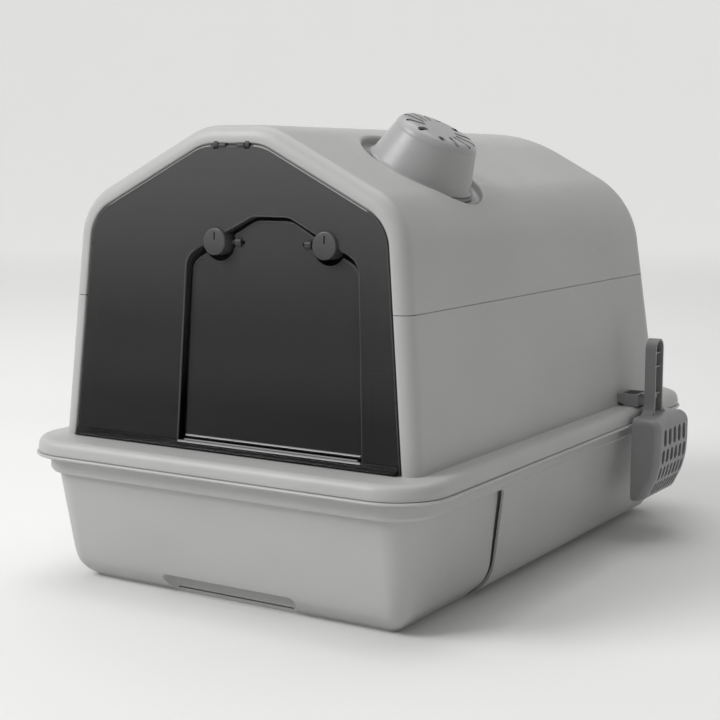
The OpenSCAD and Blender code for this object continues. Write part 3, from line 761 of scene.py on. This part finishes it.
def build_discs():
    """The two discs at the doorway's shoulders, each with a slit in its face and a bore for the flap's pin."""
    front, back, nose = -2.5, DOOR_DEPTH - 1, 1.4
    r = BLOCK_R
    prof = [(0, front + 0.5), (r - 3.4, front + 0.5), (r - 2.8, front)]
    prof += [(r - nose + nose * math.sin(t), front + nose * (1 - math.cos(t))) for t in quarter_turn(5)]
    prof += [(r, back - 0.5), (r - 0.5, back), (0, back)]
    discs = []
    for s in (-1, 1):
        x = DOOR_X + s * BLOCK_X
        at = on_face(x, FLAP_Z, 0)
        slit = placed(block("c", (-0.7, -4, 1.5), (0.7, 1.2, r - 3.6)), at)
        axis = at @ Matrix.Translation((0, FLAP_AXIS * MM, 0)) @ Matrix.Rotation(QUARTER * s, 4, "Y")
        bore = lathe("c", [(0, -14), (2.06, -14), (2.06, 1), (0, 1)], axis, 32)
        discs.append(boolean(plug(x, FLAP_Z, prof, 72), "DIFFERENCE", slit, bore))
    o = join(*discs)
    o.name = "flap_hinge_discs"
    # the discs' rounded edges take the fainter painted highlight
    bevel(tidy(o), 0.3, 2, 50, 1)
    stands_for(o, "panel", (DISC, PAINTED_FAINT_GLINT), "flap_hinge_blocks", slot="smoked_plastic")


# ------------------------------------------------------------------ deodoriser cap
def vent(a, r1, r2, w):
    """Round-ended slot from radius r1 to r2, turned by a degrees, through the cap's top."""
    ends = np.linspace(-QUARTER, QUARTER, 9)
    pts = [(r2 + w / 2 * math.cos(q), w / 2 * math.sin(q)) for q in ends]
    pts += [(r1 - w / 2 * math.cos(q), -w / 2 * math.sin(q)) for q in ends]
    ca, sa = math.cos(math.radians(a)), math.sin(math.radians(a))
    cut = prism("c", [(x * ca - y * sa, x * sa + y * ca, CAP_TOP - 6) for x, y in pts], (0, 0, 12))
    return placed(cut, ROOF)


def build_cap():
    foot, t, shoulder = WELL_FLOOR + 3.5, CAP_WALL, CAP_TOP - 9.4
    prof = [(0, foot), (CAP_R + 2, foot), (CAP_R + 2.5, foot + 0.5), (CAP_R + 2.5, foot + 1.4),
            (CAP_R + 1.9, foot + 2.2), (CAP_R + 0.8, foot + 3.2), (CAP_R, foot + 4.6)]
    prof += ramp((CAP_R, foot + 4.6), (CAP_TOP_R, shoulder), 4)
    prof += arc(28.6, CAP_TOP - 9, 9, 3, 90, 10)
    prof += [(20, CAP_TOP + 0.15), (10, CAP_TOP + 0.3), (0, CAP_TOP + 0.35)]
    hollow = [(0, foot - 2), (CAP_R - t, foot - 2), (CAP_R - t, foot + 3.5), (CAP_TOP_R - t, shoulder),
              (33, CAP_TOP - t - 4), (27, CAP_TOP - t), (0, CAP_TOP - t)]
    o = lathe("cap_body", prof, ROOF, 128)
    boolean(o, "DIFFERENCE", lathe("c", hollow, ROOF, 128))

    # two fans of vents, each with a short slot and a round hole beside it: (step, from, to, width)
    step = 27.5
    fan = ((0, 16.5, 31.5, 4.2), (1, 16.5, 31.5, 4.2), (2, 16.5, 31.5, 4.2), (-1, 20, 31.5, 4.4), (3.2, 24, 30.5, 6))
    for side in (0, 180):
        for k, r1, r2, w in fan:
            boolean(o, "DIFFERENCE", vent(side + k * step, r1, r2, w))
        boolean(o, "DIFFERENCE", vent(side - 54, 28.99, 29.01, 7))
    bevel(tidy(o), 0.4, 2, 45)

    # the cap's inside is painted near black as shade, so that the vents read as open
    inside_out = ROOF.inverted()
    o.data.materials.append(None)
    for f in o.data.polygons:
        p = inside_out @ f.center / MM
        up = max(0, p.z - foot - 3.5) / (shoulder - foot - 3.5)
        wall_r = min(CAP_R - t + (CAP_TOP_R - CAP_R) * up, CAP_R - t)
        if foot + 0.2 < p.z < CAP_TOP - t + 0.02 and math.hypot(p.x, p.y) < wall_r + 0.1:
            f.material_index = 1
    stands_for(o, "cap", (TRIM, SHADE), "deodoriser_cap")


# ------------------------------------------------------------------ scoop and holder
def bowl(name, t, w, r):
    """Tray open towards -X with rounded ends; t draws it in for the hollow."""
    # side view: (x, z, radius of that corner)
    side = [(0, SCOOP_TIP, 0), (6, SCOOP_TIP, 7), (14.5, SCOOP_TIP + 4, 9), (24, 65, 40), (28, 81, 60),
            (SCOOP_D, 97, 60), (SCOOP_D, SCOOP_TOP, 11), (0, SCOOP_TOP, 0)]
    rings = []
    for s in (-1, 1):
        for a in quarter_turn(7)[::-s]:
            d = t + r * (1 - math.sin(a))
            y = s * (w / 2 - r * (1 - math.cos(a)))
            pts = []
            for before, (x, z, rad), after in zip(side, side[1:-1], side[2:]):
                pts += corner(before[:2], (x, z), after[:2], max(rad, d + 1), d, 5)
            lo, hi = pts[0].copy(), pts[-1].copy()
            lo[0] = hi[0] = 0 if t == 0 else -0.5
            rings.append([(SCOOP_X + p[0], SCOOP_Y + y, p[1]) for p in [lo] + pts + [hi]])
    return loft(name, rings, smooth=30)


def handle_outline(d, z0):
    """Front view of the handle inset by d, flared into the bowl where it reaches down to it."""
    half = HANDLE_W / 2
    pts = arc(0, HANDLE_TOP - half, half - d, 0, 180, 16)
    if z0 > SCOOP_TOP:
        return pts + [(-half + d, z0), (half - d, z0)]
    flare = [(half, 140), (half + 0.4, 135), (half + 2, 130), (half + 5.5, 126.6), (half + 11, 124.6),
             (half + 18, 123.6), (half + 18, 119)]
    return pts + [(-y, z) for y, z in flare] + flare[::-1]


def scoop_slot(y, w, z0, z1, at):
    r = w / 2 - 0.05
    pts = rounded([(y - w / 2, z0), (y + w / 2, z0), (y + w / 2, z1), (y - w / 2, z1)], (r,) * 4)
    return placed(prism("c", [(-8, *p) for p in pts], (16, 0, 0)), at)


def build_scoop():
    wall, half = 1.9, HANDLE_W / 2
    o = bowl("scoop_body", 0, SCOOP_W, 7)
    boolean(o, "DIFFERENCE", bowl("c", wall, SCOOP_W - 2 * wall, 5.2))
    handle = prism("c", [(SCOOP_X, SCOOP_Y + y, z) for y, z in handle_outline(0, 0)], (HANDLE_T, 0, 0))
    channel = prism("c", [(SCOOP_X + 2, SCOOP_Y + y, z) for y, z in handle_outline(2, 127)], (HANDLE_T, 0, 0))
    boolean(handle, "DIFFERENCE", channel)
    boolean(o, "UNION", handle)
    for z in (HANDLE_TOP - 15, HANDLE_TOP - 28.5, HANDLE_TOP - 55.5):
        rung = block("c", (SCOOP_X + 1, SCOOP_Y - half + 1, z), (SCOOP_X + HANDLE_T - 2, SCOOP_Y + half - 1, z + 1.4))
        boolean(o, "UNION", rung)
    tongue_room = block("c", (SCOOP_X - 1, SCOOP_Y - 4.3, LEDGE_Z + 8.7),
                        (SCOOP_X + 4, SCOOP_Y + 4.3, LEDGE_Z + 12.5))
    boolean(o, "DIFFERENCE", tongue_room)

    # rows of slots: (count, pitch, width, from, to, plane they are cut in)
    heel_x, heel_z = 14.5, SCOOP_TIP + 4
    flat = Matrix.Translation(Vector((SCOOP_X + SCOOP_D, SCOOP_Y, 0)) * MM)
    slope = Matrix.Translation(Vector((SCOOP_X + heel_x, SCOOP_Y, heel_z)) * MM) @ \
        Matrix.Rotation(math.atan2(28 - heel_x, 81 - heel_z), 4, "Y")
    rows = ((5, 12.8, 7.4, 97, 114, flat), (6, 11.4, 6.8, 80, 94, flat),
            (7, 9.6, 5.6, 20, 33.5, slope), (8, 8.2, 4.7, 3.5, 17, slope))
    for count, pitch, w, z0, z1, at in rows:
        for i in range(count):
            boolean(o, "DIFFERENCE", scoop_slot((i - (count - 1) / 2) * pitch, w, z0, z1, at))
    bevel(tidy(o), 0.5, 2, 42)
    stands_for(o, "scoop", MID, "scoop", slot="mid_plastic")


def build_holder():
    """Cup-shaped bracket screwed to the hood's wall, with a tongue through the scoop's handle."""
    wall_x, out = HOOD_HW - (143 - LEDGE_Z) * 0.093, SCOOP_X - 6
    y0, y1, z0 = SCOOP_Y - 13, SCOOP_Y + 17, LEDGE_Z + 0.3
    side = [(wall_x + 0.8, 4), (wall_x + 9, 0), (out, 0), (out, 12), (wall_x + 0.1, 12)]
    o = prism("holder_body", [(x, y0, z0 + z) for x, z in side], (0, y1 - y0, 0))
    boolean(o, "DIFFERENCE", block("c", (wall_x + 3.5, y0 + 3, z0 + 2.7), (out - 3, y1 - 3, z0 + 20)))
    boolean(o, "UNION", block("c", (out - 3.5, SCOOP_Y - 4, LEDGE_Z + 9), (out + 14, SCOOP_Y + 4, LEDGE_Z + 12.2)))
    for y in (y0 + 7, y1 - 7):
        at = Matrix.Translation(Vector((wall_x, y, LEDGE_Z + 6.5)) * MM) @ Matrix.Rotation(QUARTER, 4, "Y")
        boolean(o, "DIFFERENCE", lathe("c", [(0, -4), (1.6, -4), (1.6, 8), (0, 8)], at, 24))
    bevel(tidy(o), 1.0, 3, 40)
    stands_for(o, "hood", MID, "scoop_holder", slot="mid_plastic")


build_base()
build_drawer()
build_hood()
build_panel()
build_flap()
build_discs()
build_cap()
build_scoop()
build_holder()

# carried-over CAD nodes get their own materials
KEPT = {"non_slip_feet": RUBBER, "panel_hinge_pins": DARK, "flap_pins": DARK, "deodoriser_base": TRIM,
        "seal_ring": RUBBER, "filter_grille": TRIM, "carbon_filter": FELT, "holder_screws": STEEL}
for node, material in KEPT.items():
    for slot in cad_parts[node].material_slots:
        slot.material = material


# ------------------------------------------------------------------ stage, light, camera
def stage():
    """Pale floor that rises into a round backdrop."""
    flat_r, rise = 4.2, 2
    prof = [(r, 0) for r in (1, 2, 3, flat_r)]
    prof += [(flat_r + rise * math.sin(a), rise * (1 - math.cos(a))) for a in quarter_turn(14, 0.1)]
    prof += [(flat_r + rise, 3.2)]
    n = 96
    turns = np.linspace(0, 2 * math.pi, n, endpoint=False)
    bm = bmesh.new()
    cols = [[bm.verts.new((r * math.cos(t), r * math.sin(t), z)) for t in turns] for r, z in prof]
    bm.faces.new(cols[0])
    for a, b in zip(cols, cols[1:]):
        for i in range(n):
            bm.faces.new((a[i], a[(i + 1) % n], b[(i + 1) % n], b[i]))
    o = to_object("studio_floor", bm, 80)
    m, t, p = nodes_of("pale_paper")
    where = t.nodes.new("ShaderNodeTexCoord").outputs["Object"]
    t.links.new(tint(t, noise(t, where, 3), (0.80, 0.80, 0.795), (0.82, 0.82, 0.815)), p.inputs["Base Color"])
    p.inputs["Roughness"].default_value = 0.95
    p.inputs["Specular IOR Level"].default_value = 0.1
    # the backdrop's far side carries its own soft light, as a lit paper roll does
    away = t.nodes.new("ShaderNodeVectorMath")
    away.operation = "DOT_PRODUCT"
    away.inputs[1].default_value = (-0.53, 0.848, 0)
    t.links.new(where, away.inputs[0])
    p.inputs["Emission Color"].default_value = (1, 1, 0.995, 1)
    t.links.new(spread(t, away.outputs["Value"], 0, 0.31, 0.7, 4.3), p.inputs["Emission Strength"])
    o.data.materials.append(m)


def softbox(name, at, aim, side, power):
    d = bpy.data.lights.new(name, "AREA")
    d.shape, d.size, d.size_y, d.energy = "RECTANGLE", side, side, power
    o = bpy.data.objects.new(name, d)
    o.location = at
    o.rotation_euler = (Vector(aim) - Vector(at)).to_track_quat("-Z", "Y").to_euler()
    bpy.context.scene.collection.objects.link(o)


stage()
softbox("key", (-1.9, -2.3, 2.5), (0, 0, 0.15), 1.8, 86)
softbox("top", (-0.3, 0.3, 3.0), (0, 0, 0), 2.6, 46)
world = bpy.data.worlds.new("studio")
bpy.context.scene.world = world
world.use_nodes = True
sky = world.node_tree.nodes["Background"]
sky.inputs["Color"].default_value = (1, 1, 0.995, 1)
sky.inputs["Strength"].default_value = 0.27
bpy.context.scene.view_settings.view_transform = "Standard"

# the camera was fitted to the photo's view
cam = bpy.data.cameras.new("camera")
cam.sensor_width, cam.lens = 36, 75.1
eye = bpy.data.objects.new("camera", cam)
eye.location = (0.75498, -1.25278, 0.38507)
eye.rotation_euler = (math.radians(90 - 7.947), 0, math.radians(32.036))
bpy.context.scene.collection.objects.link(eye)
bpy.context.scene.camera = eye
